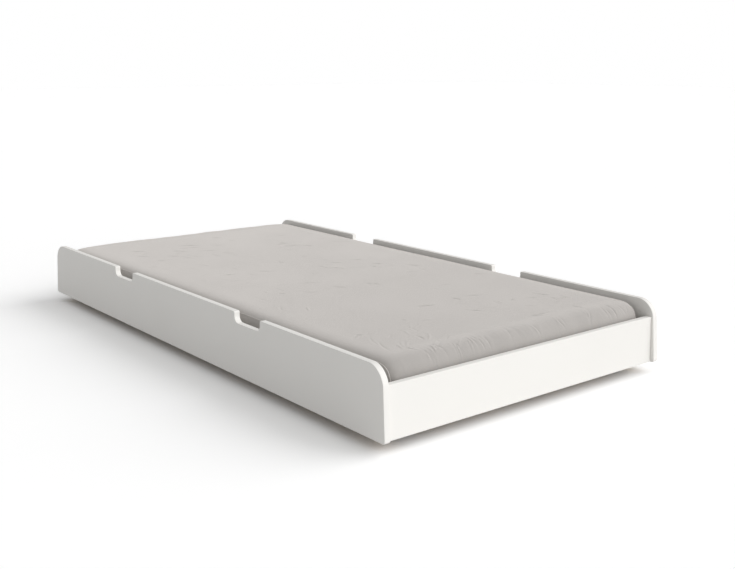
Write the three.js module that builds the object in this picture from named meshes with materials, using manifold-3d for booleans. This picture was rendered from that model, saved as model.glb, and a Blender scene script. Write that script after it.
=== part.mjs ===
// Low trundle bed on four swivel casters, for one twin mattress. It rolls out from under a taller bed.
// Millimetres. +X runs along the bed, +Y towards the back panel, +Z up, and the floor is z = 0.
import * as THREE from 'three';
import { mergeVertices } from 'three/addons/utils/BufferGeometryUtils.js';
import Module from 'manifold-3d';

const wasm = await Module();
wasm.setup();

// Clearances
const fit = 0.3; // air between two pieces that touch
const mattressEndGap = 7.6; // between the mattress and each end board
const mattressSideGap = 21; // between the mattress and each side panel
const slatEndGap = 2; // between a slat's end and the side panel
const wheelSideGap = 1.5; // between the wheel's hub and each fork leg
const swingClearance = 5; // around the circle that a caster sweeps

// Mattress
const mattressLength = 1900;
const mattressWidth = 960;
const mattressThickness = 115;
const mattressEdgeRadius = 30;
const mattressCornerRadius = 34;

// Side panels
const floorGap = 30; // under all four panels
const panelHeight = 183;
const panelThickness = 18;
const panelOverhang = 12; // past the end board's face, along the bottom edge
const panelEndLean = THREE.MathUtils.degToRad(2.6); // the ends lean in towards the top
const panelTopRadius = 52;
const panelBottomRadius = 8;
const panelEdgeEase = 1.5;

// Hand notches in each side panel's top edge
const notchSpacing = 781; // between the two notches' centres
const notchWidth = 131;
const notchDepth = 31;
const notchFloorRadius = 19;
const notchLipRadius = 4.5;

// End boards
const endBoardHeight = 135;
const endBoardThickness = 18;
const boardEase = 1;

// Slatted base
const ledgerWidth = 25;
const ledgerHeight = 32;
const slatCount = 12;
const slatWidth = 70;
const slatThickness = 18;
const strapWidth = 25;
const strapThickness = 1.5;
const strapSpacing = 500; // between the two straps' middles
const strapEndGap = 30; // from each strap's end to the end board

// Corner blocks and their bolts
const blockSize = 42;
const blockFloorGap = 34;
const boltRadius = 3;
const boltLength = 55;
const boltHeadRadius = 6;
const boltHeadHeight = 3.5;
const boltSocketRadius = 2.3;
const boltSocketDepth = 2;
const boltLedgerGap = 2; // between an end bolt's head and the ledger beside it
const sideBoltHeight = 46;
const endBoltHeight = 59;

// Casters
const casterHeight = 70; // from the floor to the top of the plate
const wheelRadius = 25;
const wheelWidth = 18;
const wheelTrail = 18; // from the swivel's axis to the axle
const tyreThickness = 5;
const tyreWidth = 16;
const tyreEase = 2.5;
const hubRadius = 9;
const webThickness = 6;
const rimThickness = 2.5;
const axleRadius = 3;
const axleHeadRadius = 5;
const axleHeadLength = 2;
const kingpinRadius = 4;
const kingpinHeadRadius = 8;
const kingpinHeadHeight = 2;
const plateLength = 62;
const plateWidth = 54;
const plateThickness = 3;
const plateCornerRadius = 6;
const plateHoleRadius = 2.6;
const plateHoleInset = 8;
const crownRadius = 19;
const crownThickness = 5;
const crownGap = 0.6; // between the plate and the crown, where the balls run
const legThickness = 2.2;
const legTopWidth = 26;
const legEndRadius = 8.5;

// Facets around a full turn
const rodSteps = 12;
const pinSteps = 16;
const wheelSteps = 28;

// Worked out from the sizes above
const innerLength = mattressLength + 2 * mattressEndGap;
const innerWidth = mattressWidth + 2 * mattressSideGap;
const panelLength = innerLength + 2 * (endBoardThickness + panelOverhang);
const seatHeight = casterHeight + fit; // underside of the slats and caster boards
const slatTop = seatHeight + slatThickness;
const strapTop = slatTop + fit + strapThickness;
const boltReach = boltLength - blockSize; // how far a bolt runs on into a panel
const sideBoltX = (innerLength - blockSize) / 2;
const endBoltY = innerWidth / 2 - ledgerWidth - boltLedgerGap - boltHeadRadius;
const swingRadius = wheelTrail + wheelRadius + swingClearance;
const casterBoardWidth = 2 * swingRadius - fit;
const casterX = innerLength / 2 - swingRadius;
const casterY = innerWidth / 2 - blockSize - swingRadius;

const finishes = {
  lacquer: finish('#e0dfdb', 0.42, 0),
  timber: finish('#c9a878', 0.6, 0),
  fabric: finish('#cdc9c5', 0.95, 0),
  webbing: finish('#dcdcd8', 0.9, 0),
  zinc: finish('#b4b6b8', 0.35, 1),
  nylon: finish('#3a3b3d', 0.5, 0),
  rubber: finish('#77797b', 0.75, 0),
};

function finish(color, roughness, metalness) {
  return new THREE.MeshStandardMaterial({ color, roughness, metalness });
}

// A closed outline with every corner rounded. Each corner is [across, up, radius], anticlockwise.
function roundedOutline(corners) {
  const outline = new THREE.Shape();
  const points = corners.map(([across, up]) => new THREE.Vector2(across, up));
  corners.forEach(([across, up, radius], i) => {
    const before = points.at(i - 1).clone().sub(points[i]).normalize();
    const after = points[(i + 1) % points.length].clone().sub(points[i]).normalize();
    const halfAngle = Math.acos(before.dot(after)) / 2;
    const start = before.clone().multiplyScalar(radius / Math.tan(halfAngle));
    const centre = before.clone().add(after).normalize().multiplyScalar(radius / Math.sin(halfAngle));
    const end = after.clone().multiplyScalar(radius / Math.tan(halfAngle));
    const turnsIn = before.cross(after) > 0; // an inside corner, such as a notch's floor
    outline.absarc(
      across + centre.x,
      up + centre.y,
      radius,
      start.sub(centre).angle(),
      end.sub(centre).angle(),
      turnsIn,
    );
  });
  outline.closePath();
  return outline;
}

function roundedRectangle(width, height, radius) {
  const [x, y] = [width / 2, height / 2];
  return roundedOutline([[-x, -y, radius], [x, -y, radius], [x, y, radius], [-x, y, radius]]);
}

// An outline given a thickness, centred on z = 0, with its edges eased by a bevel.
function slab(outline, thickness, ease, arcSteps = 1, easeSteps = 1) {
  const geometry = new THREE.ExtrudeGeometry(outline, {
    depth: thickness - 2 * ease,
    bevelEnabled: ease > 0,
    bevelThickness: ease,
    bevelSize: ease,
    bevelOffset: -ease,
    bevelSegments: easeSteps,
    curveSegments: arcSteps,
  });
  return geometry.translate(0, 0, ease - thickness / 2);
}

function board(sizeX, sizeY, sizeZ, ease = boardEase) {
  return slab(roundedRectangle(sizeX, sizeY, ease), sizeZ, ease);
}

// A round piece about the Z axis. The profile is [radius, z] points that start and end on the axis.
function turned(profile, steps) {
  const geometry = new THREE.LatheGeometry(profile.map(([r, z]) => new THREE.Vector2(r, z)), steps);
  return geometry.rotateX(Math.PI / 2);
}

function rod(radius, length, steps = rodSteps) {
  return new THREE.CylinderGeometry(radius, radius, length, steps).rotateX(Math.PI / 2);
}

function toSolid(geometry) {
  const bare = geometry.clone();
  bare.deleteAttribute('normal');
  bare.deleteAttribute('uv');
  const merged = mergeVertices(bare);
  return new wasm.Manifold(new wasm.Mesh({
    numProp: 3,
    vertProperties: new Float32Array(merged.attributes.position.array),
    triVerts: new Uint32Array(merged.index.array),
  }));
}

function toGeometry(solid) {
  const mesh = solid.getMesh();
  const geometry = new THREE.BufferGeometry();
  geometry.setAttribute('position', new THREE.BufferAttribute(mesh.vertProperties, 3));
  geometry.setIndex(new THREE.BufferAttribute(mesh.triVerts, 1));
  geometry.computeVertexNormals();
  return geometry;
}

function cut(geometry, ...tools) {
  return toGeometry(tools.reduce((solid, tool) => solid.subtract(toSolid(tool)), toSolid(geometry)));
}

function join(geometry, ...more) {
  return toGeometry(more.reduce((solid, piece) => solid.add(toSolid(piece)), toSolid(geometry)));
}

function addPiece(group, name, geometry, material, x = 0, y = 0, z = 0) {
  const mesh = new THREE.Mesh(geometry, material);
  mesh.name = name;
  mesh.position.set(x, y, z);
  group.add(mesh);
}

// The four corners of the bed: -1 or 1 along X and along Y.
const corners = [
  { name: 'front_left', alongX: -1, alongY: -1 },
  { name: 'front_right', alongX: 1, alongY: -1 },
  { name: 'back_left', alongX: -1, alongY: 1 },
  { name: 'back_right', alongX: 1, alongY: 1 },
];

// One notch's corners along the top edge, from its right lip to its left one.
function notchCorners(middle, top) {
  const [left, right] = [middle - notchWidth / 2, middle + notchWidth / 2];
  return [
    [right, top, notchLipRadius],
    [right, top - notchDepth, notchFloorRadius],
    [left, top - notchDepth, notchFloorRadius],
    [left, top, notchLipRadius],
  ];
}

// A side panel seen from the front, with z = 0 at its bottom edge.
function sidePanelOutline() {
  const foot = panelLength / 2;
  const head = foot - panelHeight * Math.tan(panelEndLean);
  return roundedOutline([
    [-foot, 0, panelBottomRadius],
    [foot, 0, panelBottomRadius],
    [head, panelHeight, panelTopRadius],
    ...notchCorners(notchSpacing / 2, panelHeight),
    ...notchCorners(-notchSpacing / 2, panelHeight),
    [-head, panelHeight, panelTopRadius],
  ]);
}

// The blind bore for a corner bolt, reaching into a panel from its inner face at z = 0, towards +Z.
function boltBore() {
  const depth = boltReach + fit;
  const mouth = 1; // the cutter starts this far outside the face
  return rod(boltRadius + fit, depth + mouth).translate(0, 0, (depth - mouth) / 2);
}

function sidePanel(alongY) {
  const standing = slab(sidePanelOutline(), panelThickness, panelEdgeEase, 4)
    .rotateX(Math.PI / 2)
    .translate(0, alongY * (innerWidth + panelThickness) / 2, floorGap);
  const bores = [-1, 1].map((alongX) => boltBore()
    .rotateX(-alongY * Math.PI / 2)
    .translate(alongX * sideBoltX, alongY * innerWidth / 2, sideBoltHeight));
  return cut(standing, ...bores);
}

function endBoard(alongX) {
  const standing = board(endBoardThickness, innerWidth - 2 * fit, endBoardHeight, panelEdgeEase)
    .translate(alongX * (innerLength + endBoardThickness) / 2, 0, floorGap + endBoardHeight / 2);
  const bores = [-1, 1].map((alongY) => boltBore()
    .rotateY(alongX * Math.PI / 2)
    .translate(alongX * innerLength / 2, alongY * endBoltY, endBoltHeight));
  return cut(standing, ...bores);
}

function addPanels(group) {
  addPiece(group, 'side_panel_front', sidePanel(-1), finishes.lacquer);
  addPiece(group, 'side_panel_back', sidePanel(1), finishes.lacquer);
  addPiece(group, 'end_board_left', endBoard(-1), finishes.lacquer);
  addPiece(group, 'end_board_right', endBoard(1), finishes.lacquer);
}

// A block fills each inside corner under the slats, and takes one bolt into each of the two panels.
const blockX = (innerLength - blockSize - fit) / 2;
const blockY = (innerWidth - blockSize - fit) / 2;
const blockZ = (casterHeight + blockFloorGap) / 2;

function cornerBlock(alongX, alongY) {
  const hole = () => rod(boltRadius + fit, 2 * blockSize);
  return cut(
    board(blockSize - fit, blockSize - fit, casterHeight - blockFloorGap),
    hole().rotateX(Math.PI / 2).translate(alongX * (sideBoltX - blockX), 0, sideBoltHeight - blockZ),
    hole().rotateY(Math.PI / 2).translate(0, alongY * (endBoltY - blockY), endBoltHeight - blockZ),
  );
}

// A button-head bolt along Z: the underside of its head is z = 0 and its tip points to +Z.
function bolt() {
  const shape = turned([
    [0, boltLength - fit],
    [boltRadius * 0.8, boltLength - fit],
    [boltRadius, boltLength - 1],
    [boltRadius, 0],
    [boltHeadRadius, 0],
    [boltHeadRadius, -boltHeadHeight * 0.4],
    [boltHeadRadius * 0.7, -boltHeadHeight],
    [0, -boltHeadHeight],
  ].reverse(), rodSteps);
  const socket = rod(boltSocketRadius, 2 * boltSocketDepth, 6).translate(0, 0, -boltHeadHeight);
  return cut(shape, socket);
}

function addCornerJoints(group) {
  const sideHeadY = innerWidth / 2 - blockSize - fit;
  const endHeadX = innerLength / 2 - blockSize - fit;
  for (const { name, alongX, alongY } of corners) {
    const corner = new THREE.Group();
    addPiece(
      corner, `corner_block_${name}`, cornerBlock(alongX, alongY), finishes.timber,
      alongX * blockX, alongY * blockY, blockZ,
    );
    addPiece(
      corner, `bolt_${name}_side`, bolt().rotateX(-alongY * Math.PI / 2), finishes.zinc,
      alongX * sideBoltX, alongY * sideHeadY, sideBoltHeight,
    );
    addPiece(
      corner, `bolt_${name}_end`, bolt().rotateY(alongX * Math.PI / 2), finishes.zinc,
      alongX * endHeadX, alongY * endBoltY, endBoltHeight,
    );
    group.add(corner);
  }
}

// Two ledgers carry the slats, and a wide board across each end carries two casters.
function addBase(group) {
  const ledgerLength = innerLength - 2 * (blockSize + 2 * fit);
  const ledgerY = (innerWidth - ledgerWidth) / 2 - fit;
  const ledgerZ = casterHeight - ledgerHeight / 2;
  for (const [name, alongY] of [['front', -1], ['back', 1]]) {
    const ledger = board(ledgerLength, ledgerWidth, ledgerHeight);
    addPiece(group, `ledger_${name}`, ledger, finishes.timber, 0, alongY * ledgerY, ledgerZ);
  }
  const boardZ = seatHeight + slatThickness / 2;
  for (const [name, alongX] of [['left', -1], ['right', 1]]) {
    const casterBoard = board(casterBoardWidth - fit, innerWidth - 2 * slatEndGap, slatThickness);
    addPiece(group, `caster_board_${name}`, casterBoard, finishes.timber, alongX * casterX, 0, boardZ);
  }
  const pitch = 2 * (casterX - casterBoardWidth / 2 + slatWidth / 2) / (slatCount + 1);
  for (let i = 0; i < slatCount; i += 1) {
    const slat = board(slatWidth, innerWidth - 2 * slatEndGap, slatThickness);
    const slatX = (i - (slatCount - 1) / 2) * pitch;
    addPiece(group, `slat_${String(i + 1).padStart(2, '0')}`, slat, finishes.timber, slatX, 0, boardZ);
  }
  for (const [name, alongY] of [['front', -1], ['back', 1]]) {
    const strap = new THREE.BoxGeometry(innerLength - 2 * strapEndGap, strapWidth, strapThickness);
    const strapZ = strapTop - strapThickness / 2;
    addPiece(group, `slat_strap_${name}`, strap, finishes.webbing, 0, alongY * strapSpacing / 2, strapZ);
  }
}

function addMattress(group) {
  const outline = roundedRectangle(mattressLength, mattressWidth, mattressCornerRadius);
  const mattress = slab(outline, mattressThickness, mattressEdgeRadius, 3, 3);
  addPiece(group, 'mattress', mattress, finishes.fabric, 0, 0, strapTop + fit + mattressThickness / 2);
}

// Casters: each is drawn with its swivel axis on Z, the floor at z = 0 and its wheel trailing to +Y.
const plateBottom = casterHeight - plateThickness;
const crownTop = plateBottom - crownGap;
const crownBottom = crownTop - crownThickness;
const legInside = wheelWidth / 2 + wheelSideGap;
const legOutside = legInside + legThickness;

function casterPlate() {
  const plate = slab(roundedRectangle(plateLength, plateWidth, plateCornerRadius), plateThickness, 0, 3)
    .translate(0, 0, casterHeight - plateThickness / 2);
  const bore = rod(kingpinRadius + fit, 4 * plateThickness, pinSteps).translate(0, 0, casterHeight);
  const headRoom = turned([
    [0, casterHeight - fit - kingpinHeadHeight],
    [kingpinRadius + 2 * fit, casterHeight - fit - kingpinHeadHeight],
    [kingpinHeadRadius + 2 * fit, casterHeight - fit],
    [kingpinHeadRadius + 2 * fit, casterHeight + 1],
    [0, casterHeight + 1],
  ], pinSteps);
  const holes = corners.map(({ alongX, alongY }) => rod(plateHoleRadius, 4 * plateThickness).translate(
    alongX * (plateLength / 2 - plateHoleInset),
    alongY * (plateWidth / 2 - plateHoleInset),
    casterHeight,
  ));
  return cut(plate, bore, headRoom, ...holes);
}

// The kingpin is riveted: a sunk head in the plate, and a flat head under the fork's crown.
function kingpin() {
  return turned([
    [0, casterHeight - fit],
    [kingpinHeadRadius, casterHeight - fit],
    [kingpinRadius, casterHeight - fit - kingpinHeadHeight],
    [kingpinRadius, crownBottom - fit],
    [kingpinHeadRadius, crownBottom - fit],
    [kingpinHeadRadius, crownBottom - fit - kingpinHeadHeight],
    [0, crownBottom - fit - kingpinHeadHeight],
  ].reverse(), pinSteps);
}

// A leg seen from the side: wide under the crown, and round about the axle.
function legOutline() {
  const top = crownBottom + crownThickness / 2;
  const outline = new THREE.Shape();
  outline.moveTo(legTopWidth / 2, top);
  outline.lineTo(-legTopWidth / 2, top);
  outline.absarc(wheelTrail, wheelRadius, legEndRadius, Math.PI * 1.05, Math.PI * 2.1, false);
  outline.closePath();
  return outline;
}

function fork() {
  const crown = turned([
    [0, crownTop],
    [crownRadius - 1, crownTop],
    [crownRadius, crownTop - 1],
    [crownRadius, crownBottom],
    [0, crownBottom],
  ].reverse(), wheelSteps);
  const legs = [-1, 1].map((side) => slab(legOutline(), legThickness, 0, 4)
    .rotateX(Math.PI / 2)
    .rotateZ(Math.PI / 2)
    .translate(side * (legInside + legThickness / 2), 0, 0));
  const kingpinBore = rod(kingpinRadius + fit, 4 * crownThickness, pinSteps).translate(0, 0, crownTop);
  const axleBore = rod(axleRadius + fit, 4 * legOutside)
    .rotateY(Math.PI / 2)
    .translate(0, wheelTrail, wheelRadius);
  return cut(join(crown, ...legs), kingpinBore, axleBore);
}

function axle() {
  const shoulder = legOutside + fit;
  const end = shoulder + axleHeadLength;
  return turned([
    [0, -end],
    [axleHeadRadius, -end],
    [axleHeadRadius, -shoulder],
    [axleRadius, -shoulder],
    [axleRadius, shoulder],
    [axleHeadRadius, shoulder],
    [axleHeadRadius, end],
    [0, end],
  ], rodSteps).rotateY(Math.PI / 2);
}

// A ring about the axle, from a closed profile of [radius, half width] points, inner edge first.
function ringAboutAxle(halfProfile, steps) {
  const near = halfProfile.map(([r, half]) => [r, -half]);
  const far = halfProfile.map(([r, half]) => [r, half]).reverse();
  const profile = [...near, ...far, near[0]];
  return turned(profile, steps).rotateY(Math.PI / 2);
}

function wheel() {
  const rimOutside = wheelRadius - tyreThickness - fit;
  return ringAboutAxle([
    [axleRadius + fit, wheelWidth / 2],
    [hubRadius, wheelWidth / 2],
    [hubRadius, webThickness / 2],
    [rimOutside - rimThickness, webThickness / 2],
    [rimOutside - rimThickness, tyreWidth / 2],
    [rimOutside, tyreWidth / 2],
  ], wheelSteps);
}

function tyre() {
  return ringAboutAxle([
    [wheelRadius - tyreThickness, tyreWidth / 2],
    [wheelRadius - tyreEase, tyreWidth / 2],
    [wheelRadius - tyreEase * 0.3, tyreWidth / 2 - tyreEase * 0.7],
    [wheelRadius, tyreWidth / 2 - 2 * tyreEase],
  ], wheelSteps);
}

function addCasters(group) {
  for (const { name, alongX, alongY } of corners) {
    const caster = new THREE.Group();
    caster.position.set(alongX * casterX, alongY * casterY, 0);
    addPiece(caster, `caster_${name}_plate`, casterPlate(), finishes.zinc);
    addPiece(caster, `caster_${name}_kingpin`, kingpin(), finishes.zinc);
    addPiece(caster, `caster_${name}_fork`, fork(), finishes.zinc);
    const rolling = new THREE.Group();
    rolling.position.set(0, wheelTrail, wheelRadius);
    addPiece(rolling, `caster_${name}_axle`, axle(), finishes.zinc);
    addPiece(rolling, `caster_${name}_wheel`, wheel(), finishes.nylon);
    addPiece(rolling, `caster_${name}_tyre`, tyre(), finishes.rubber);
    caster.add(rolling);
    group.add(caster);
  }
}

const trundleBed = new THREE.Group();
addPanels(trundleBed);
addCornerJoints(trundleBed);
addBase(trundleBed);
addMattress(trundleBed);
addCasters(trundleBed);

export default trundleBed;
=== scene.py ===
import math
import random

import bmesh
import bpy
from mathutils import Matrix, Vector, kdtree, noise


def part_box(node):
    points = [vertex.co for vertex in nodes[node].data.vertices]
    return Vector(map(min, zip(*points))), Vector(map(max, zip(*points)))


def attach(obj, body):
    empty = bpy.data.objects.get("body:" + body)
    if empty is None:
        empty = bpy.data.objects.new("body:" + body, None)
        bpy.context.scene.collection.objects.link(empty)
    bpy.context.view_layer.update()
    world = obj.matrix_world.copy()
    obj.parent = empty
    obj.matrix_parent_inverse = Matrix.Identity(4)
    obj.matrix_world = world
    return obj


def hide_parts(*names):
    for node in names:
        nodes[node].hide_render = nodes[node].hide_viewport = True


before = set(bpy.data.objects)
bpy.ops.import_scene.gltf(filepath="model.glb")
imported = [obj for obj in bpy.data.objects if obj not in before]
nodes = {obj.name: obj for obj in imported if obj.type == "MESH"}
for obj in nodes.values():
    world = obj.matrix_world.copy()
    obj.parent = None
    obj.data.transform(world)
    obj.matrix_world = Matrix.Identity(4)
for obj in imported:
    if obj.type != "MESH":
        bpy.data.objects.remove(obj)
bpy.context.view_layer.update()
print("stage: frame loaded,", len(nodes), "nodes")

cornerNames = ("front_left", "front_right", "back_left", "back_right")


# Camera, set first

view = {
    "place": (2.6978, -1.9284, 0.9088),
    "heading": 51.53,  # degrees, turned left of +Y
    "tilt": 5.65,  # degrees below level
    "lens": 48.87,
    "shiftUp": -0.1694,
}


def addCamera():
    data = bpy.data.cameras.new("camera")
    data.lens = view["lens"]
    data.sensor_width = 36
    data.shift_y = view["shiftUp"]
    camera = bpy.data.objects.new("camera", data)
    camera.location = view["place"]
    camera.rotation_euler = (math.radians(90 - view["tilt"]), 0, math.radians(view["heading"]))
    bpy.context.scene.collection.objects.link(camera)
    bpy.context.scene.camera = camera


addCamera()


# Shader groups

def newGroup(name, inputs, outputs):
    group = bpy.data.node_groups.new(name, "ShaderNodeTree")
    for label, kind, value in inputs:
        socket = group.interface.new_socket(label, in_out="INPUT", socket_type=kind)
        socket.default_value = value
    for label, kind in outputs:
        group.interface.new_socket(label, in_out="OUTPUT", socket_type=kind)
    return group, group.nodes.new("NodeGroupInput"), group.nodes.new("NodeGroupOutput")


def addNode(tree, kind, **values):
    node = tree.nodes.new(kind)
    for key, value in values.items():
        if hasattr(node, key):
            setattr(node, key, value)
        else:
            node.inputs[key].default_value = value
    return node


def objectSpot(tree):
    return tree.nodes.new("ShaderNodeTexCoord").outputs["Object"]


def makeMottle():
    # Slow, soft variation: a mask that a material mixes into its colour or roughness
    group, inside, out = newGroup(
        "softMottle",
        [
            ("Size", "NodeSocketFloat", 3.0),
            ("Detail", "NodeSocketFloat", 3.0),
            ("Contrast", "NodeSocketFloat", 1.0),
        ],
        [("Mask", "NodeSocketFloat")],
    )
    cloud = addNode(group, "ShaderNodeTexNoise")
    centred = addNode(group, "ShaderNodeMath", operation="SUBTRACT")
    centred.inputs[1].default_value = 0.5
    stronger = addNode(group, "ShaderNodeMath", operation="MULTIPLY")
    lifted = addNode(group, "ShaderNodeMath", operation="ADD", use_clamp=True)
    lifted.inputs[1].default_value = 0.5
    links = group.links
    links.new(objectSpot(group), cloud.inputs["Vector"])
    links.new(inside.outputs["Size"], cloud.inputs["Scale"])
    links.new(inside.outputs["Detail"], cloud.inputs["Detail"])
    links.new(cloud.outputs["Fac"], centred.inputs[0])
    links.new(centred.outputs[0], stronger.inputs[0])
    links.new(inside.outputs["Contrast"], stronger.inputs[1])
    links.new(stronger.outputs[0], lifted.inputs[0])
    links.new(lifted.outputs[0], out.inputs["Mask"])
    return group


def makeWeave():
    # Two crossed sets of threads. The mask is high on a thread and low between threads.
    group, inside, out = newGroup(
        "threadWeave",
        [("Threads", "NodeSocketFloat", 900.0), ("Wander", "NodeSocketFloat", 0.4)],
        [("Height", "NodeSocketFloat"), ("Mask", "NodeSocketFloat")],
    )
    links = group.links
    spot = objectSpot(group)
    count = addNode(group, "ShaderNodeMath", operation="MULTIPLY")
    count.inputs[1].default_value = 2 * math.pi / 20  # a wave texture's scale of 1 is 20 radians a metre
    links.new(inside.outputs["Threads"], count.inputs[0])
    waves = []
    for axis in ("X", "Y", "Z"):
        wave = addNode(
            group, "ShaderNodeTexWave", wave_type="BANDS", bands_direction=axis, wave_profile="SIN",
        )
        wave.inputs["Detail"].default_value = 1.0
        wave.inputs["Detail Scale"].default_value = 0.6
        links.new(spot, wave.inputs["Vector"])
        links.new(count.outputs[0], wave.inputs["Scale"])
        links.new(inside.outputs["Wander"], wave.inputs["Distortion"])
        waves.append(wave)
    first = addNode(group, "ShaderNodeMath", operation="MULTIPLY")
    links.new(waves[0].outputs["Fac"], first.inputs[0])
    links.new(waves[1].outputs["Fac"], first.inputs[1])
    second = addNode(group, "ShaderNodeMath", operation="MULTIPLY")
    links.new(first.outputs[0], second.inputs[0])
    links.new(waves[2].outputs["Fac"], second.inputs[1])
    blended = addNode(group, "ShaderNodeMath", operation="ADD")
    links.new(first.outputs[0], blended.inputs[0])
    links.new(second.outputs[0], blended.inputs[1])
    links.new(blended.outputs[0], out.inputs["Height"])
    links.new(first.outputs[0], out.inputs["Mask"])
    return group


def makeGrain():
    # Long wavy growth rings, fine pores along them and a few knots
    group, inside, out = newGroup(
        "plankGrain",
        [
            ("Along", "NodeSocketVector", (1.0, 1.0, 1.0)),
            ("Light", "NodeSocketColor", (0.8, 0.6, 0.4, 1.0)),
            ("Dark", "NodeSocketColor", (0.5, 0.3, 0.2, 1.0)),
            ("Knots", "NodeSocketFloat", 0.05),
        ],
        [("Color", "NodeSocketColor"), ("Height", "NodeSocketFloat"), ("Mask", "NodeSocketFloat")],
    )
    links = group.links
    stretched = addNode(group, "ShaderNodeVectorMath", operation="MULTIPLY")
    links.new(objectSpot(group), stretched.inputs[0])
    links.new(inside.outputs["Along"], stretched.inputs[1])
    rings = addNode(group, "ShaderNodeTexNoise", Scale=9.0, Detail=3.0, Distortion=0.6)
    links.new(stretched.outputs[0], rings.inputs["Vector"])
    bands = addNode(group, "ShaderNodeMath", operation="MULTIPLY")
    bands.inputs[1].default_value = 11.0
    links.new(rings.outputs["Fac"], bands.inputs[0])
    folded = addNode(group, "ShaderNodeMath", operation="PINGPONG")
    folded.inputs[1].default_value = 1.0
    links.new(bands.outputs[0], folded.inputs[0])
    pores = addNode(group, "ShaderNodeTexNoise", Scale=160.0, Detail=2.0)
    links.new(stretched.outputs[0], pores.inputs["Vector"])
    knots = addNode(group, "ShaderNodeTexVoronoi", feature="F1", Scale=5.0)
    links.new(objectSpot(group), knots.inputs["Vector"])
    knotMask = addNode(group, "ShaderNodeMath", operation="LESS_THAN")
    links.new(knots.outputs["Distance"], knotMask.inputs[0])
    links.new(inside.outputs["Knots"], knotMask.inputs[1])
    poreShare = addNode(group, "ShaderNodeMath", operation="MULTIPLY_ADD")
    poreShare.inputs[1].default_value = 0.35
    links.new(pores.outputs["Fac"], poreShare.inputs[0])
    links.new(folded.outputs[0], poreShare.inputs[2])
    darker = addNode(group, "ShaderNodeMath", operation="MAXIMUM")
    links.new(poreShare.outputs[0], darker.inputs[0])
    links.new(knotMask.outputs[0], darker.inputs[1])
    share = addNode(group, "ShaderNodeMath", operation="MULTIPLY", use_clamp=True)
    share.inputs[1].default_value = 0.7
    links.new(darker.outputs[0], share.inputs[0])
    colour = addNode(group, "ShaderNodeMix", data_type="RGBA")
    links.new(share.outputs[0], colour.inputs["Factor"])
    links.new(inside.outputs["Light"], colour.inputs[6])
    links.new(inside.outputs["Dark"], colour.inputs[7])
    links.new(colour.outputs[2], out.inputs["Color"])
    links.new(poreShare.outputs[0], out.inputs["Height"])
    links.new(share.outputs[0], out.inputs["Mask"])
    return group


softMottle = makeMottle()
threadWeave = makeWeave()
plankGrain = makeGrain()


# Materials

def newMaterial(name, **values):
    material = bpy.data.materials.new(name)
    material.use_nodes = True
    tree = material.node_tree
    shader = tree.nodes["Principled BSDF"]
    for key, value in values.items():
        shader.inputs[key].default_value = value
    return material, tree, shader


def place(tree, group, **values):
    node = tree.nodes.new("ShaderNodeGroup")
    node.node_tree = group
    for key, value in values.items():
        node.inputs[key].default_value = value
    return node


def mixedColour(tree, mask, low, high):
    mix = addNode(tree, "ShaderNodeMix", data_type="RGBA")
    mix.inputs[6].default_value = (*low, 1)
    mix.inputs[7].default_value = (*high, 1)
    tree.links.new(mask, mix.inputs["Factor"])
    return mix.outputs[2]


def spread(tree, mask, low, high):
    span = addNode(tree, "ShaderNodeMapRange")
    span.inputs["To Min"].default_value = low
    span.inputs["To Max"].default_value = high
    tree.links.new(mask, span.inputs["Value"])
    return span.outputs[0]


def bumped(tree, shader, height, distance, strength=1.0):
    bump = addNode(tree, "ShaderNodeBump", Strength=strength, Distance=distance)
    tree.links.new(height, bump.inputs["Height"])
    tree.links.new(bump.outputs["Normal"], shader.inputs["Normal"])


def added(tree, first, second, share):
    total = addNode(tree, "ShaderNodeMath", operation="MULTIPLY_ADD")
    total.inputs[1].default_value = share
    tree.links.new(second, total.inputs[0])
    tree.links.new(first, total.inputs[2])
    return total.outputs[0]


def makeLacquer():
    # Sprayed satin white: faint orange peel, and a very slight warmth that comes and goes
    material, tree, shader = newMaterial("whiteLacquer")
    shader.inputs["Specular IOR Level"].default_value = 0.35
    cloud = place(tree, softMottle, Size=2.2, Detail=2.0, Contrast=1.6)
    colour = mixedColour(tree, cloud.outputs["Mask"], (0.815, 0.80, 0.768), (0.845, 0.831, 0.80))
    peel = place(tree, softMottle, Size=420.0, Detail=1.0, Contrast=1.0)
    haze = place(tree, softMottle, Size=35.0, Detail=4.0, Contrast=1.4)
    tree.links.new(colour, shader.inputs["Base Color"])
    tree.links.new(spread(tree, haze.outputs["Mask"], 0.52, 0.62), shader.inputs["Roughness"])
    bumped(tree, shader, peel.outputs["Mask"], 0.00008)
    return material


def makeTimber(name, along, light=(0.72, 0.58, 0.41), dark=(0.56, 0.41, 0.26)):
    material, tree, shader = newMaterial(name)
    grain = place(tree, plankGrain, Along=along, Light=(*light, 1), Dark=(*dark, 1), Knots=0.035)
    tree.links.new(grain.outputs["Color"], shader.inputs["Base Color"])
    tree.links.new(spread(tree, grain.outputs["Mask"], 0.52, 0.68), shader.inputs["Roughness"])
    bumped(tree, shader, grain.outputs["Height"], 0.0002)
    return material


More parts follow.
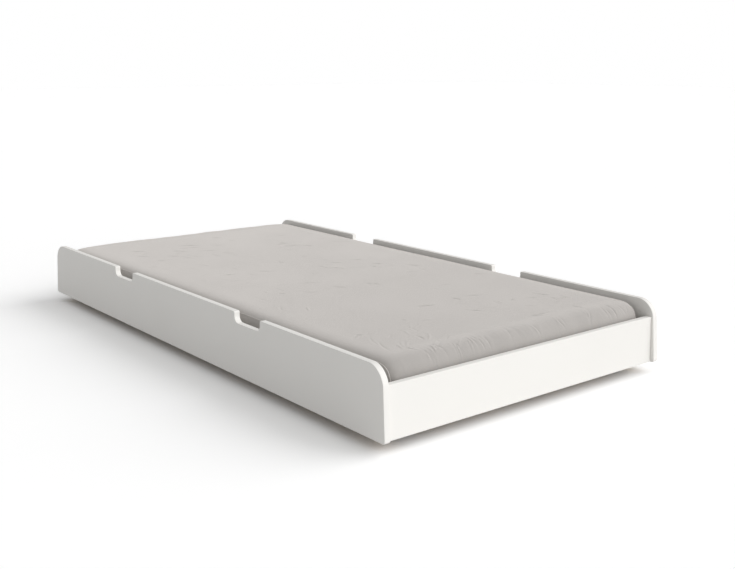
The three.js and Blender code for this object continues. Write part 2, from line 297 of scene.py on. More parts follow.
def makeCover(name, low, high, sheen):
    # Brushed cotton: fine threads, a soft mottle, and a nap that catches light seen edge-on
    material, tree, shader = newMaterial(name)
    shader.inputs["Sheen Weight"].default_value = sheen
    shader.inputs["Sheen Roughness"].default_value = 0.7
    shader.inputs["Sheen Tint"].default_value = (1.0, 0.955, 0.915, 1)
    shader.inputs["Specular IOR Level"].default_value = 0.2
    weave = place(tree, threadWeave, Threads=900.0, Wander=1.2)
    cloud = place(tree, softMottle, Size=5.0, Detail=5.0, Contrast=1.0)
    nap = place(tree, softMottle, Size=260.0, Detail=3.0, Contrast=1.2)
    blend = added(tree, cloud.outputs["Mask"], weave.outputs["Mask"], 0.35)
    tree.links.new(mixedColour(tree, blend, low, high), shader.inputs["Base Color"])
    tree.links.new(spread(tree, nap.outputs["Mask"], 0.82, 0.98), shader.inputs["Roughness"])
    height = added(tree, weave.outputs["Height"], nap.outputs["Mask"], 0.8)
    bumped(tree, shader, height, 0.00013, 0.6)
    return material


def makeWebbing():
    material, tree, shader = newMaterial("slatTape")
    weave = place(tree, threadWeave, Threads=700.0, Wander=0.6)
    colour = mixedColour(tree, weave.outputs["Mask"], (0.52, 0.52, 0.50), (0.72, 0.72, 0.70))
    tree.links.new(colour, shader.inputs["Base Color"])
    shader.inputs["Roughness"].default_value = 0.85
    bumped(tree, shader, weave.outputs["Height"], 0.0004)
    return material


def makeZinc():
    # Bright zinc plate: cloudy tints, and fine handling marks in the roughness
    material, tree, shader = newMaterial("zincPlate", Metallic=1.0)
    cloud = place(tree, softMottle, Size=45.0, Detail=4.0, Contrast=2.0)
    marks = place(tree, softMottle, Size=700.0, Detail=2.0, Contrast=1.6)
    colour = mixedColour(tree, cloud.outputs["Mask"], (0.56, 0.57, 0.60), (0.68, 0.67, 0.63))
    tree.links.new(colour, shader.inputs["Base Color"])
    tree.links.new(spread(tree, marks.outputs["Mask"], 0.26, 0.46), shader.inputs["Roughness"])
    bumped(tree, shader, marks.outputs["Mask"], 0.00003)
    return material


def makeMoulded(name, low, high, roughness, grain):
    material, tree, shader = newMaterial(name)
    cloud = place(tree, softMottle, Size=60.0, Detail=3.0, Contrast=1.5)
    pits = place(tree, softMottle, Size=grain, Detail=1.0, Contrast=1.5)
    tree.links.new(mixedColour(tree, cloud.outputs["Mask"], low, high), shader.inputs["Base Color"])
    tree.links.new(spread(tree, pits.outputs["Mask"], *roughness), shader.inputs["Roughness"])
    bumped(tree, shader, pits.outputs["Mask"], 0.00006)
    return material


lacquer = makeLacquer()
pineAcross = makeTimber("pineAcross", (1.0, 0.06, 1.0))
pineAlong = makeTimber("pineAlong", (0.06, 1.0, 1.0))
cover = makeCover("mattressCover", (0.295, 0.279, 0.265), (0.345, 0.3275, 0.3115), 0.89)
# The welt is lighter than the cover: partly the piping's own tone, partly a painted highlight for the bright
# line along the mattress's long top edges
welt = makeCover("mattressWeltWithHighlight", (0.42, 0.402, 0.384), (0.49, 0.469, 0.449), 0.85)
webbing = makeWebbing()
zinc = makeZinc()
nylon = makeMoulded("blackNylon", (0.018, 0.018, 0.020), (0.032, 0.032, 0.034), (0.34, 0.5), 900.0)
rubber = makeMoulded("greyRubber", (0.13, 0.135, 0.14), (0.18, 0.185, 0.19), (0.6, 0.8), 1400.0)
print("stage: materials")


# Making and finishing pieces

def newPiece(name, mesh, material, body, slot, *stoodFor):
    piece = bpy.data.objects.new(name, mesh)
    mesh.materials.clear()
    mesh.materials.append(material)
    bpy.context.scene.collection.objects.link(piece)
    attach(piece, body)
    if stoodFor:
        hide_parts(*stoodFor)
    return piece


def meshOf(shape, name, smooth=True):
    mesh = bpy.data.meshes.new(name)
    shape.to_mesh(mesh)
    shape.free()
    for face in mesh.polygons:
        face.use_smooth = smooth
    return mesh


def evenShading(piece):
    # Keeps big flat faces flat beside their narrow rounded edges
    weighted = piece.modifiers.new("evenShading", "WEIGHTED_NORMAL")
    weighted.mode = "FACE_AREA"
    weighted.weight = 50
    weighted.keep_sharp = True


def rounded(shape, edges, radius, steps=8):
    bmesh.ops.bevel(
        shape, geom=edges, offset=radius, offset_type="OFFSET", segments=steps, profile=0.5,
        affect="EDGES", clamp_overlap=True, material=-1,
    )


def sharpEdges(shape, angle):
    return [edge for edge in shape.edges if edge.calc_face_angle(0) > angle]


def easeEdges(shape, width, steps=3):
    rounded(shape, sharpEdges(shape, math.radians(50)), width, steps)


def boxShape(low, high):
    shape = bmesh.new()
    bmesh.ops.create_cube(shape, size=1)
    bmesh.ops.scale(shape, vec=high - low, verts=shape.verts[:])
    bmesh.ops.translate(shape, vec=(low + high) / 2, verts=shape.verts[:])
    return shape


def edgesAlong(shape, axis, shortest):
    return [edge for edge in shape.edges if abs((edge.verts[0].co - edge.verts[1].co)[axis]) > shortest]


def spunShape(profile, steps, axis=0):
    # The profile's spots are (radius, along the axis). It is a ring's section, or an outline that starts
    # and ends on the axis.
    shape = bmesh.new()
    spots = []
    for radius, along in profile:
        spot = Vector()
        spot[axis] = along
        spot[2 - axis] = radius
        spots.append(shape.verts.new(spot))
    edges = [shape.edges.new(pair) for pair in zip(spots, spots[1:])]
    if profile[0][0] > 0:
        edges.append(shape.edges.new((spots[-1], spots[0])))
    turn = Vector()
    turn[axis] = 1
    bmesh.ops.spin(
        shape, geom=spots + edges, cent=(0, 0, 0), axis=turn, angle=2 * math.pi, steps=steps,
        use_merge=True, use_duplicate=False,
    )
    bmesh.ops.remove_doubles(shape, verts=shape.verts[:], dist=1e-6)
    bmesh.ops.recalc_face_normals(shape, faces=shape.faces[:])
    return shape


def mirrored(half):
    return half + [(radius, -along) for radius, along in reversed(half)]


def tipped(shape, angle):
    turned = Matrix.Rotation(angle, 3, "X")
    bmesh.ops.rotate(shape, verts=shape.verts[:], cent=(0, 0, 0), matrix=turned)


def joined(whole, part, shift=(0, 0, 0)):
    bmesh.ops.translate(part, verts=part.verts[:], vec=shift)
    mesh = bpy.data.meshes.new("part")
    part.to_mesh(mesh)
    part.free()
    whole.from_mesh(mesh)
    bpy.data.meshes.remove(mesh)


# Side panels and end boards

panel = {
    "overhang": 0.012,  # past the end board's face, at the foot
    "lean": math.radians(2.6),
    "topRadius": 0.052,
    "footRadius": 0.008,
    "ease": 0.0016,
    "notchSpacing": 0.781,
    "notchWidth": 0.131,
    "notchDepth": 0.031,
    "notchFloorRadius": 0.019,
    "notchLipRadius": 0.0045,
}


def roundCorner(shape, spot, radius):
    bmesh.ops.bevel(
        shape, geom=[spot], offset=radius, offset_type="OFFSET", segments=max(6, int(radius * 600)),
        profile=0.5, affect="VERTICES", clamp_overlap=False, material=-1,
    )


def makeSidePanel(node):
    low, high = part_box(node)
    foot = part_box("end_board_right")[1].x + panel["overhang"]
    head = foot - (high.z - low.z) * math.tan(panel["lean"])
    half = panel["notchWidth"] / 2
    floor = high.z - panel["notchDepth"]
    lip, dip = panel["notchLipRadius"], panel["notchFloorRadius"]
    corners = [(-foot, low.z, panel["footRadius"]), (foot, low.z, panel["footRadius"])]
    corners.append((head, high.z, panel["topRadius"]))
    for middle in (panel["notchSpacing"] / 2, -panel["notchSpacing"] / 2):
        right, left = middle + half, middle - half
        corners += [(right, high.z, lip), (right, floor, dip), (left, floor, dip), (left, high.z, lip)]
    corners.append((-head, high.z, panel["topRadius"]))
    shape = bmesh.new()
    spots = [shape.verts.new((x, low.y, z)) for x, z, radius in corners]
    shape.faces.new(spots)
    for spot, (x, z, radius) in zip(spots, corners):
        roundCorner(shape, spot, radius)
    grown = bmesh.ops.extrude_face_region(shape, geom=shape.faces[:])
    moved = [part for part in grown["geom"] if isinstance(part, bmesh.types.BMVert)]
    bmesh.ops.translate(shape, verts=moved, vec=(0, high.y - low.y, 0))
    bmesh.ops.recalc_face_normals(shape, faces=shape.faces[:])
    easeEdges(shape, panel["ease"])
    piece = newPiece(f"{node}_board", meshOf(shape, node), lacquer, "frame", "white_lacquer", node)
    evenShading(piece)


def makeEndBoard(node):
    shape = boxShape(*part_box(node))
    easeEdges(shape, panel["ease"])
    piece = newPiece(f"{node}_board", meshOf(shape, node), lacquer, "frame", "white_lacquer", node)
    evenShading(piece)


for side in ("front", "back"):
    makeSidePanel(f"side_panel_{side}")
for end in ("left", "right"):
    makeEndBoard(f"end_board_{end}")
print("stage: panels")


# Mattress

mattress = {
    "grow": (-0.005, -0.003, -0.0008),  # the blank against the space it fills, on each side
    "shove": 0.011,  # the mattress lies nearer the back panel than the front one
    "topRadius": 0.047,  # over the short ends
    "footRadius": 0.032,
    "sideRadius": 0.024,  # all round the outline of a long side
    "frontBelly": (0.012, 0.008),  # how far the front side swells out, and how much more at the left
    "frontShoulder": (0.060, 0.006),  # how far in from the front side the top starts to fall, and by how much
    # each of these runs from the first place, where the effect is nothing, to the second, where it is whole
    "bellyAlong": (0.95, 0.62),
    "bellyMore": (0.0, -0.85),
    "bellyAcross": (-0.20, -0.46),
    "rollAround": (0.095, 0.036),  # from the corner line of a short end
    "rollAcross": (0.02, 0.13),  # from a long side
    "rollLowest": 0.14,  # the roll is above this height
    "fullness": 0.005,  # how much plumper a short end is between the two welts
    "voxel": 0.010,
    "smoothings": 4,
    "coverMass": 0.3,
    "coverStretch": 15,
    "coverBend": 2.0,
    "hold": (0.35, 0.6),  # how much of every point is held where it began, and how stiffly
    "pressure": 3.6,
    "slack": -0.001,  # negative: the cover is a little too big for its core
    "frames": 16,
    "outCap": 0.004,
    "inCap": 0.004,
    "wave": 0.0010,  # slow unevenness of the top
    "waveSize": 0.34,
    "seamInset": 0.0078,  # the welt's distance from the long side
    "seamSpacing": 0.008,
    "weltRadius": 0.0014,
    "lineBand": 0.06,  # folds and pleats stay within this far below the top
    "foldWidth": 0.0025,
    "foldDepth": 0.0017,
    "foldLength": (0.02, 0.085),
    "foldBend": 0.8,
    "pleatCount": 46,
    "pleatDepth": 0.0011,
    "pleatLength": (0.022, 0.06),
    "pleatBend": 0.5,
    "pleatTurn": 0.28,
    "pleatInset": (0.005, 0.04),  # from the short end, and from the long sides
    "seed": 11,
    # how many folds, round which place, spread how far, heading which way from +X, and how evenly
    "foldGroups": (
        (130, (0.0, 0.0), (0.86, 0.42), 0.8, 0.6),
        (36, (0.80, -0.27), (0.10, 0.11), -0.75, 0.4),
        (18, (0.72, 0.18), (0.16, 0.18), 0.5, 0.6),
        (12, (-0.62, -0.20), (0.20, 0.18), 0.9, 0.4),
    ),
}


def applied(piece):
    graph = bpy.context.evaluated_depsgraph_get()
    mesh = bpy.data.meshes.new_from_object(piece.evaluated_get(graph))
    piece.modifiers.clear()
    old = piece.data
    piece.data = mesh
    bpy.data.meshes.remove(old)


def mattressBlank():
    low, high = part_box("mattress")
    grow = Vector(mattress["grow"])
    shove = Vector((0, mattress["shove"], 0))
    shape = boxShape(low - grow + shove, high + grow + shove)
    middle = (low.z + high.z) / 2
    across = edgesAlong(shape, 1, 0.5)
    upper = [edge for edge in across if edge.verts[0].co.z > middle]
    lower = [edge for edge in across if edge.verts[0].co.z < middle]
    rounded(shape, upper, mattress["topRadius"])
    rounded(shape, lower, mattress["footRadius"])
    rounded(shape, sharpEdges(shape, 1), mattress["sideRadius"])
    return meshOf(shape, "mattressBlank")


def remeshed(piece, voxel):
    remesh = piece.modifiers.new("remesh", "REMESH")
    remesh.mode = "VOXEL"
    remesh.voxel_size = voxel
    applied(piece)


def swollen(piece):
    # Blows the cover up over its core for a moment, and holds every point near where it began
    scene = bpy.context.scene
    start = [vertex.co.copy() for vertex in piece.data.vertices]
    share, stiffness = mattress["hold"]
    hold = piece.vertex_groups.new(name="hold")
    hold.add(list(range(len(start))), share, "REPLACE")
    cloth = piece.modifiers.new("cover", "CLOTH")
    settings = cloth.settings
    settings.quality = 5
    settings.mass = mattress["coverMass"]
    settings.tension_stiffness = mattress["coverStretch"]
    settings.compression_stiffness = mattress["coverStretch"]
    settings.bending_stiffness = mattress["coverBend"]
    settings.use_pressure = True
    settings.uniform_pressure_force = mattress["pressure"]
    settings.shrink_min = mattress["slack"]
    settings.vertex_group_mass = hold.name
    settings.pin_stiffness = stiffness
    settings.effector_weights.gravity = 0
    cloth.collision_settings.use_collision = False
    cloth.point_cache.frame_start = 1
    cloth.point_cache.frame_end = mattress["frames"]
    for step in range(1, mattress["frames"] + 1):
        scene.frame_set(step)
    applied(piece)
    scene.frame_set(1)
    for vertex, was in zip(piece.data.vertices, start):
        shift = vertex.co - was
        limit = mattress["outCap"] if shift.dot(vertex.normal) > 0 else mattress["inCap"]
        if shift.length > limit:
            vertex.co = was + shift * (limit / shift.length)
    piece.vertex_groups.clear()


def softened(piece, passes):
    shape = bmesh.new()
    shape.from_mesh(piece.data)
    for _ in range(passes):
        bmesh.ops.smooth_vert(
            shape, verts=shape.verts[:], factor=0.5, use_axis_x=True, use_axis_y=True, use_axis_z=True,
        )
    shape.to_mesh(piece.data)
    shape.free()


def bentLine(start, turn, length, steps, bend):
    spots = []
    spot = Vector(start)
    for step in range(steps + 1):
        spots.append(spot.copy())
        heading = turn + bend * (step / steps - 0.5)
        spot += Vector((math.cos(heading), math.sin(heading), 0)) * (length / steps)
    return spots


def foldPaths(low, high):
    # Short soft folds over the top, and little pleats where the cover is pulled round the two ends
    draw = random.Random(mattress["seed"])
    folds = []
    bend = mattress["foldBend"]
    for count, middle, reach, heading, unevenness in mattress["foldGroups"]:
        for _ in range(count):
            x, y = (centre + draw.uniform(-1, 1) * half for centre, half in zip(middle, reach))
            length = draw.uniform(*mattress["foldLength"])
            turn = draw.gauss(heading, unevenness)
            path = bentLine((x, y, high.z), turn, length, 10, draw.uniform(-bend, bend))
            folds.append((path, mattress["foldDepth"] * draw.uniform(-1, 0.7)))
    bend = mattress["pleatBend"]
    fromEnd, fromSide = mattress["pleatInset"]
    for end, inward in ((low.x + fromEnd, 0.0), (high.x - fromEnd, math.pi)):
        for _ in range(mattress["pleatCount"]):
            start = (end, draw.uniform(low.y + fromSide, high.y - fromSide), high.z)
            turn = inward + draw.gauss(0, mattress["pleatTurn"])
            length = draw.uniform(*mattress["pleatLength"])
            path = bentLine(start, turn, length, 8, draw.uniform(-bend, bend))
            folds.append((path, mattress["pleatDepth"] * draw.uniform(-1, 0.6)))
    return folds


def planFinder(shape):
    # Finds points by their place seen from above
    shape.verts.ensure_lookup_table()
    shape.verts.index_update()
    finder = kdtree.KDTree(len(shape.verts))
    for vertex in shape.verts:
        finder.insert((vertex.co.x, vertex.co.y, 0), vertex.index)
    finder.balance()
    return finder


def pressLines(shape, paths, width):
    # Finer mesh along each line first, then the line is pressed in or raised
    finder = planFinder(shape)
    lowest = max(vertex.co.z for vertex in shape.verts) - mattress["lineBand"]
    touched = set()
    for path, _ in paths:
        for spot in path:
            touched.update(found[1] for found in finder.find_range((spot.x, spot.y, 0), width * 2.2))
    near = {shape.verts[index] for index in touched if shape.verts[index].co.z > lowest}
    edges = [edge for edge in shape.edges if edge.verts[0] in near and edge.verts[1] in near]
    bmesh.ops.subdivide_edges(shape, edges=edges, cuts=2, smooth=0.5, use_grid_fill=True)
    shape.normal_update()
    finder = planFinder(shape)
    for path, depth in paths:
        pushes = {}
        for first, second in zip(path, path[1:]):
            run = second - first
            halfway = ((first + second) / 2).to_2d().to_3d()
            for found in finder.find_range(halfway, width * 3 + run.length):
                vertex = shape.verts[found[1]]
                if vertex.co.z < lowest:
                    continue
                away = Vector((vertex.co.x - first.x, vertex.co.y - first.y, 0))
                share = min(1, max(0, away.dot(run) / run.length_squared))
                gap = (away - run * share).length
                pushes[found[1]] = min(gap, pushes.get(found[1], 1.0))
        middle = (path[0] + path[-1]) / 2
        reach = (path[0] - path[-1]).length / 2 + width
        for index, gap in pushes.items():
            vertex = shape.verts[index]
            along = min(1, math.hypot(vertex.co.x - middle.x, vertex.co.y - middle.y) / reach)
            fade = (1 - along * along) ** 1.5
            dip = math.exp(-((gap / width) ** 2))
            shoulder = 0.45 * math.exp(-(((gap - 2 * width) / width) ** 2))
            vertex.co += vertex.normal * depth * (dip - shoulder) * fade


def seamLoop(mesh, y):
    # The outline that a plane across Y cuts from the mesh, in order round the loop
    shape = bmesh.new()
    shape.from_mesh(mesh)
    bmesh.ops.bisect_plane(
        shape, geom=shape.verts[:] + shape.edges[:] + shape.faces[:],
        plane_co=(0, y, 0), plane_no=(0, 1, 0), clear_inner=True, clear_outer=True,
    )
    spots = []
    vertex, last = shape.verts[:][0], None
    while True:
        spots.append(vertex.co.copy())
        onward = [edge.other_vert(vertex) for edge in vertex.link_edges]
        following = onward[0] if onward[0] is not last else onward[1]
        vertex, last = following, vertex
        if (vertex.co - spots[0]).length < 1e-7:
            break
    shape.free()
    return spots


def tubeAlong(name, spots, radius):
    curve = bpy.data.curves.new(name, "CURVE")
    curve.dimensions = "3D"
    curve.bevel_depth = radius
    curve.bevel_resolution = 2
    line = curve.splines.new("POLY")
    line.points.add(len(spots) - 1)
    for point, spot in zip(line.points, spots):
        point.co = (*spot, 1)
    line.use_cyclic_u = True
    carrier = bpy.data.objects.new(name, curve)
    bpy.context.scene.collection.objects.link(carrier)
    graph = bpy.context.evaluated_depsgraph_get()
    mesh = bpy.data.meshes.new_from_object(carrier.evaluated_get(graph))
    bpy.data.objects.remove(carrier)
    bpy.data.curves.remove(curve)
    for face in mesh.polygons:
        face.use_smooth = True
    return mesh


def evenLoop(spots, spacing):
    lengths = [(b - a).length for a, b in zip(spots, spots[1:] + spots[:1])]
    total = sum(lengths)
    count = int(total / spacing)
    even = []
    walked, index = 0.0, 0
    for step in range(count):
        target = total * step / count
        while walked + lengths[index] < target:
            walked += lengths[index]
            index += 1
        share = (target - walked) / lengths[index]
        even.append(spots[index].lerp(spots[(index + 1) % len(spots)], share))
    return even


def smoothStep(low, high, value):
    share = min(1, max(0, (value - low) / (high - low)))
    return share * share * (3 - 2 * share)


def easeFront(spot, edge, low, high):
    # The front side swells outward along its length and is drawn in again at the corner by the right end
    if spot.y < 0:
        reach, fall = mattress["frontShoulder"]
        near = max(0, 1 - (spot.y - edge) / reach)
        spot.z -= fall * near * near * max(0, (spot.z - low.z) / (high.z - low.z))
        belly, more = mattress["frontBelly"]
        out = belly * smoothStep(*mattress["bellyAlong"], spot.x)
        out += more * smoothStep(*mattress["bellyMore"], spot.x)
        spot.y -= out * smoothStep(*mattress["bellyAcross"], spot.y)


def plumpEnd(spot, high):
    # Between the welts the stuffing fills the upper roll of each short end out towards a tighter curve
    inward = (high.x - abs(spot.x)) + (high.z - spot.z)
    if inward < mattress["rollAround"][0] and spot.z > mattress["rollLowest"]:
        fromSide = high.y - abs(spot.y - mattress["shove"])
        share = smoothStep(*mattress["rollAround"], inward) * smoothStep(*mattress["rollAcross"], fromSide)
        uneven = 0.9 + 0.35 * noise.noise(Vector((spot.x, spot.y / 0.06, 1.7)))
        push = mattress["fullness"] * share * uneven * math.sqrt(0.5)
        spot.x += math.copysign(push, spot.x)
        spot.z += push


def makeMattress():
    low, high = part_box("mattress")
    blank = mattressBlank()
    piece = newPiece("mattress_padded", blank, cover, "mattress", "mattress_fabric", "mattress")
    remeshed(piece, mattress["voxel"])
    print("stage: mattress remeshed,", len(piece.data.vertices), "points")
    swollen(piece)
    softened(piece, mattress["smoothings"])
    finer = piece.modifiers.new("finer", "SUBSURF")
    finer.levels = finer.render_levels = 1
    applied(piece)
    shape = bmesh.new()
    shape.from_mesh(piece.data)
    for vertex in shape.verts:
        height = (vertex.co.z - low.z) / (high.z - low.z)
        spot = vertex.co / mattress["waveSize"]
        lift = noise.noise(Vector((spot.x, spot.y, 3.1)))
        lift += 0.4 * noise.noise(Vector((spot.x * 2.3, spot.y * 2.3, 7.7)))
        vertex.co.z += mattress["wave"] * lift * max(0, height)
    shape.to_mesh(piece.data)
    edges = [pick(vertex.co.y for vertex in shape.verts) for pick in (min, max)]
    seams = [edges[0] + mattress["seamInset"], edges[1] - mattress["seamInset"]]
    outlines = [evenLoop(seamLoop(piece.data, y), mattress["seamSpacing"]) for y in seams]
    for spot in [vertex.co for vertex in shape.verts] + outlines[0] + outlines[1]:
        easeFront(spot, edges[0], low, high)
        plumpEnd(spot, high)
    shape.normal_update()
    pressLines(shape, foldPaths(low, high), mattress["foldWidth"])
    for vertex in shape.verts:
        vertex.co.z = min(max(vertex.co.z, low.z), high.z + 0.003)
    bmesh.ops.recalc_face_normals(shape, faces=shape.faces[:])
    shape.to_mesh(piece.data)
    shape.free()
    for face in piece.data.polygons:
        face.use_smooth = True
    piece.data.materials.clear()
    piece.data.materials.append(cover)
    for side, outline in zip(("front", "back"), outlines):
        mesh = tubeAlong(f"mattress_welt_{side}", outline, mattress["weltRadius"])
        newPiece(f"mattress_welt_{side}", mesh, welt, "mattress", "mattress_fabric")


makeMattress()
print("stage: mattress")


# Boards and slats

timber = {
    "slatEase": 0.0022,
    "boardEase": 0.0015,
}


def makeBoard(node, material, ease):
    shape = boxShape(*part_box(node))
    easeEdges(shape, ease)
    piece = newPiece(f"{node}_wood", meshOf(shape, node), material, "frame", "timber", node)
    evenShading(piece)


def isSlat(node):
    return node.startswith("slat_") and not node.startswith("slat_strap")


for name in sorted(nodes):
    if isSlat(name):
        makeBoard(name, pineAcross, timber["slatEase"])
    elif name.startswith("caster_board"):
        makeBoard(name, pineAcross, timber["boardEase"])
    elif name.startswith("ledger"):
        makeBoard(name, pineAlong, timber["boardEase"])
print("stage: boards and slats")


# Screws and staples

fixing = {
    "headRadius": 0.0042,
    "headRise": 0.0022,
    "socketRadius": 0.0015,
    "ledgerScrews": 6,
    "ledgerReach": 0.80,  # how far from the middle the outermost ledger screw is
    "stapleLength": 0.012,
    "stapleWire": 0.0012,
    "stapleRise": 0.0003,
}


def screwHead(axis, way):
    # A round head with a socket, on the plane through the origin, that stands out along the axis
    radius, rise, socket = fixing["headRadius"], fixing["headRise"], fixing["socketRadius"]
    outline = [
        (0, rise * 0.35), (socket, rise * 0.35), (socket, rise), (radius * 0.6, rise),
        (radius * 0.88, rise * 0.8), (radius, rise * 0.4), (radius, 0), (0, 0),
    ]
    head = spunShape(outline, 20, 2)
    if axis == 1:
        tipped(head, -math.pi / 2)
    if way < 0:
        tipped(head, math.pi)
    return head


def makeLedgerScrews(side):
    low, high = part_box(f"ledger_{side}")
    inward = 1 if side == "front" else -1
    face = high.y if side == "front" else low.y
    screws = bmesh.new()
    count = fixing["ledgerScrews"]
    for step in range(count):
        x = fixing["ledgerReach"] * (2 * step / (count - 1) - 1)
        joined(screws, screwHead(1, inward), (x, face, (low.z + high.z) / 2))
    mesh = meshOf(screws, "ledgerScrews")
    evenShading(newPiece(f"ledger_screws_{side}", mesh, zinc, "frame", "zinc_steel"))


def makeStaples(side):
    strapLow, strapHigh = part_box(f"slat_strap_{side}")
    y = (strapLow.y + strapHigh.y) / 2
    staples = bmesh.new()
    for name in filter(isSlat, sorted(nodes)):
        low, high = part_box(name)
        middle = Vector(((low.x + high.x) / 2, y, strapHigh.z))
        half = Vector((fixing["stapleWire"], fixing["stapleLength"], 0)) / 2
        wire = boxShape(middle - half, middle + half + Vector((0, 0, fixing["stapleRise"])))
        joined(staples, wire)
    mesh = meshOf(staples, "staples", smooth=False)
    newPiece(f"strap_staples_{side}", mesh, zinc, "frame", "zinc_steel")


for side in ("front", "back"):
    makeLedgerScrews(side)
    makeStaples(side)
print("stage: screws and staples")


# Casters

caster = {
    "plateCorner": 0.006,
    "screwInset": 0.008,
    "pinRadius": 0.004,
    "pinHead": (0.008, 0.002),
    "crown": (0.019, 0.005),
    "leg": (0.0105, 0.0127),  # inside and outside, from the middle of the wheel
    "legTop": 0.026,
    "legEnd": 0.0085,
    "hub": (0.0033, 0.009),
    "rim": (0.0166, 0.0197),
    "rimHalf": 0.0078,
    "webHalf": 0.0016,
    "ribs": 7,
    "ribThickness": 0.0016,
    "tyre": (0.020, 0.025),
    "axle": (0.003, 0.013),
    "axleHead": (0.005, 0.015),
}
acrossAxle = Matrix.Rotation(math.pi / 2, 4, "Y")


def middleOf(node):
    low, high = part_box(node)
    return (low + high) / 2


def makePlate(corner):
    node = f"caster_{corner}_plate"
    low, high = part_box(node)
    plate = boxShape(low, high)
    rounded(plate, edgesAlong(plate, 2, 0.001), caster["plateCorner"])
    easeEdges(plate, 0.0004, 2)
    evenShading(newPiece(f"{node}_steel", meshOf(plate, node), zinc, "frame", "zinc_steel", node))
    screws = bmesh.new()
    inset = caster["screwInset"]
    for x in (low.x + inset, high.x - inset):
        for y in (low.y + inset, high.y - inset):
            joined(screws, screwHead(2, -1), (x, y, low.z))
    mesh = meshOf(screws, "plateScrews")
    evenShading(newPiece(f"caster_{corner}_screws", mesh, zinc, "frame", "zinc_steel"))


def makeKingpin(corner):
    node = f"caster_{corner}_kingpin"
    low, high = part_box(node)
    radius = caster["pinRadius"]
    head, rise = caster["pinHead"]
    profile = [
        (0, low.z), (head * 0.62, low.z), (head * 0.9, low.z + rise * 0.3), (head, low.z + rise * 0.75),
        (head, low.z + rise), (radius, low.z + rise), (radius, high.z - rise), (head, high.z - rise),
        (head, high.z), (0, high.z),
    ]
    pin = spunShape(profile, 32, 2)
    middle = (low + high) / 2
    bmesh.ops.translate(pin, verts=pin.verts[:], vec=(middle.x, middle.y, 0))
    evenShading(newPiece(f"{node}_rivet", meshOf(pin, node), zinc, "frame", "zinc_steel", node))


def forkLeg(side, swivel, axle, top):
    leg = bmesh.new()
    for x in caster["leg"]:
        turned = Matrix.Translation((side * x, axle.y - swivel.y, axle.z)) @ acrossAxle
        bmesh.ops.create_circle(leg, segments=28, radius=caster["legEnd"], matrix=turned)
        for y in (-0.5, 0.5):
            leg.verts.new((side * x, y * caster["legTop"], top))
    bmesh.ops.convex_hull(leg, input=leg.verts[:])
    bmesh.ops.dissolve_limit(leg, angle_limit=0.02, verts=leg.verts[:], edges=leg.edges[:])
    bmesh.ops.recalc_face_normals(leg, faces=leg.faces[:])
    easeEdges(leg, 0.0005, 2)
    return leg


def makeFork(corner):
    node = f"caster_{corner}_fork"
    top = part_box(node)[1].z
    swivel = middleOf(f"caster_{corner}_plate")
    axle = middleOf(f"caster_{corner}_wheel")
    radius, depth = caster["crown"]
    bore = caster["pinRadius"] + 0.0003
    section = [
        (bore, top - depth), (radius - 0.003, top - depth), (radius - 0.001, top - depth * 0.8),
        (radius, top - depth * 0.5), (radius, top - 0.001), (radius - 0.001, top), (bore, top),
    ]
    fork = spunShape(section, 40, 2)
    for side in (-1, 1):
        joined(fork, forkLeg(side, swivel, axle, top - depth / 2))
    bmesh.ops.translate(fork, verts=fork.verts[:], vec=(swivel.x, swivel.y, 0))
    body = f"caster_{corner}_swivel"
    evenShading(newPiece(f"{node}_steel", meshOf(fork, node), zinc, body, "zinc_steel", node))


def makeAxle(corner):
    node = f"caster_{corner}_axle"
    radius, shoulder = caster["axle"]
    head, end = caster["axleHead"]
    profile = [
        (0, -end), (head * 0.6, -end), (head * 0.9, -end + 0.0005), (head, -end + 0.0012),
        (head, -shoulder), (radius, -shoulder), (radius, end), (0, end),
    ]
    pin = spunShape(profile, 28)
    nut = bmesh.new()
    bmesh.ops.create_cone(
        nut, cap_ends=True, segments=6, radius1=head, radius2=head, depth=end - shoulder - 0.0002,
        matrix=Matrix.Translation(((end + shoulder) / 2, 0, 0)) @ acrossAxle,
    )
    easeEdges(nut, 0.0003, 2)
    joined(pin, nut)
    bmesh.ops.translate(pin, verts=pin.verts[:], vec=middleOf(node))
    body = f"caster_{corner}_swivel"
    evenShading(newPiece(f"{node}_bolt", meshOf(pin, node), zinc, body, "zinc_steel", node))


def makeWheel(corner):
    node = f"caster_{corner}_wheel"
    low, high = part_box(node)
    half = (high.x - low.x) / 2
    bore, hub = caster["hub"]
    rimIn, rimOut = caster["rim"]
    rimHalf, web = caster["rimHalf"], caster["webHalf"]
    wheel = spunShape(mirrored([
        (bore, -half), (hub - 0.0008, -half), (hub, -half + 0.0008), (hub + 0.0003, -web - 0.001),
        (hub + 0.0012, -web), (rimIn - 0.0012, -web), (rimIn - 0.0003, -web - 0.001),
        (rimIn, -rimHalf + 0.0005), (rimIn + 0.0005, -rimHalf), (rimOut - 0.0005, -rimHalf),
        (rimOut, -rimHalf + 0.0005),
    ]), 48)
    for step in range(caster["ribs"]):
        rib = boxShape(
            Vector((-rimHalf * 0.72, -caster["ribThickness"] / 2, hub - 0.001)),
            Vector((rimHalf * 0.72, caster["ribThickness"] / 2, rimIn + 0.001)),
        )
        easeEdges(rib, 0.0003, 1)
        tipped(rib, 2 * math.pi * step / caster["ribs"])
        joined(wheel, rib)
    bmesh.ops.translate(wheel, verts=wheel.verts[:], vec=(low + high) / 2)
    body = f"caster_{corner}_roller"
    evenShading(newPiece(f"{node}_core", meshOf(wheel, node), nylon, body, "black_nylon", node))


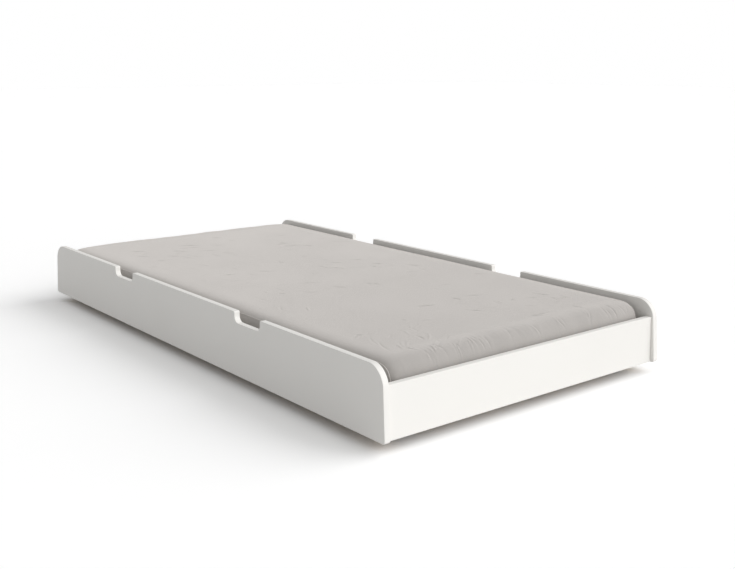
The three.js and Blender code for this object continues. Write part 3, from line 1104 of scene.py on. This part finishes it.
def makeTyre(corner):
    node = f"caster_{corner}_tyre"
    low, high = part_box(node)
    half = (high.x - low.x) / 2
    inner, outer = caster["tyre"]
    tyre = spunShape(mirrored([
        (inner, -half + 0.0006), (inner + 0.0006, -half), (outer - 0.0022, -half),
        (outer - 0.001, -half + 0.0005), (outer - 0.0003, -half + 0.0018), (outer, -half + 0.0042),
    ]), 64)
    bmesh.ops.translate(tyre, verts=tyre.verts[:], vec=(low + high) / 2)
    body = f"caster_{corner}_roller"
    evenShading(newPiece(f"{node}_tread", meshOf(tyre, node), rubber, body, "grey_rubber", node))


for corner in cornerNames:
    for make in (makePlate, makeKingpin, makeFork, makeAxle, makeWheel, makeTyre):
        make(corner)
print("stage: casters")


# Finishes on the pieces that stay as they are in the frame

def paint(node, material):
    nodes[node].data.materials.clear()
    nodes[node].data.materials.append(material)


for name in nodes:
    if name.startswith("slat_strap"):
        paint(name, webbing)
    elif name.startswith("corner_block"):
        paint(name, pineAlong)
    elif name.startswith("bolt"):
        paint(name, zinc)


# Floor, lights and world

studio = {
    "floorSize": 60.0,
    "floorColour": (0.87, 0.87, 0.87),
    "floorSeen": 1.19,  # how bright the floor is to the camera itself
    # the way to each light, its width in degrees, which sets how soft its shadow is, and its strength
    "lights": {
        "key": ((0.45, 0.72, 0.66), 54.0, 1.42),
        "side": ((1.0, 0.15, 0.30), 60.0, 1.32),
    },
    "sky": 0.44,
}


def addFloor():
    shape = bmesh.new()
    bmesh.ops.create_grid(shape, x_segments=1, y_segments=1, size=studio["floorSize"] / 2)
    floor = bpy.data.objects.new("floor", meshOf(shape, "floor", smooth=False))
    bpy.context.scene.collection.objects.link(floor)
    material = bpy.data.materials.new("floorPaper")
    material.use_nodes = True
    tree = material.node_tree
    tree.nodes.clear()
    out = tree.nodes.new("ShaderNodeOutputMaterial")
    plain = addNode(tree, "ShaderNodeBsdfDiffuse", Color=(*studio["floorColour"], 1))
    seen = addNode(tree, "ShaderNodeBsdfDiffuse", Color=(studio["floorSeen"],) * 3 + (1,))
    path = tree.nodes.new("ShaderNodeLightPath")
    mix = tree.nodes.new("ShaderNodeMixShader")
    tree.links.new(path.outputs["Is Camera Ray"], mix.inputs[0])
    tree.links.new(plain.outputs[0], mix.inputs[1])
    tree.links.new(seen.outputs[0], mix.inputs[2])
    tree.links.new(mix.outputs[0], out.inputs["Surface"])
    floor.data.materials.append(material)


def addLights():
    for name, (way, width, strength) in studio["lights"].items():
        data = bpy.data.lights.new(name, "SUN")
        data.angle = math.radians(width)
        data.energy = strength
        lamp = bpy.data.objects.new(name, data)
        lamp.location = Vector(way) * 3
        lamp.rotation_euler = Vector(way).to_track_quat("Z", "Y").to_euler()
        bpy.context.scene.collection.objects.link(lamp)


def addWorld():
    world = bpy.data.worlds.new("studio")
    bpy.context.scene.world = world
    world.use_nodes = True
    tree = world.node_tree
    tree.nodes.clear()
    out = tree.nodes.new("ShaderNodeOutputWorld")
    ambient = addNode(tree, "ShaderNodeBackground", Strength=studio["sky"])
    white = addNode(tree, "ShaderNodeBackground", Strength=1.0)
    for back in (ambient, white):
        back.inputs["Color"].default_value = (1, 1, 1, 1)
    path = tree.nodes.new("ShaderNodeLightPath")
    mirror = addNode(tree, "ShaderNodeMath", operation="MAXIMUM")
    through = addNode(tree, "ShaderNodeMath", operation="MAXIMUM")
    mix = tree.nodes.new("ShaderNodeMixShader")
    tree.links.new(path.outputs["Is Camera Ray"], mirror.inputs[0])
    tree.links.new(path.outputs["Is Glossy Ray"], mirror.inputs[1])
    tree.links.new(mirror.outputs[0], through.inputs[0])
    tree.links.new(path.outputs["Is Transmission Ray"], through.inputs[1])
    tree.links.new(through.outputs[0], mix.inputs[0])
    tree.links.new(ambient.outputs[0], mix.inputs[1])
    tree.links.new(white.outputs[0], mix.inputs[2])
    tree.links.new(mix.outputs[0], out.inputs["Surface"])


addFloor()
addLights()
addWorld()
bpy.context.scene.view_settings.view_transform = "Standard"
print("stage: studio")
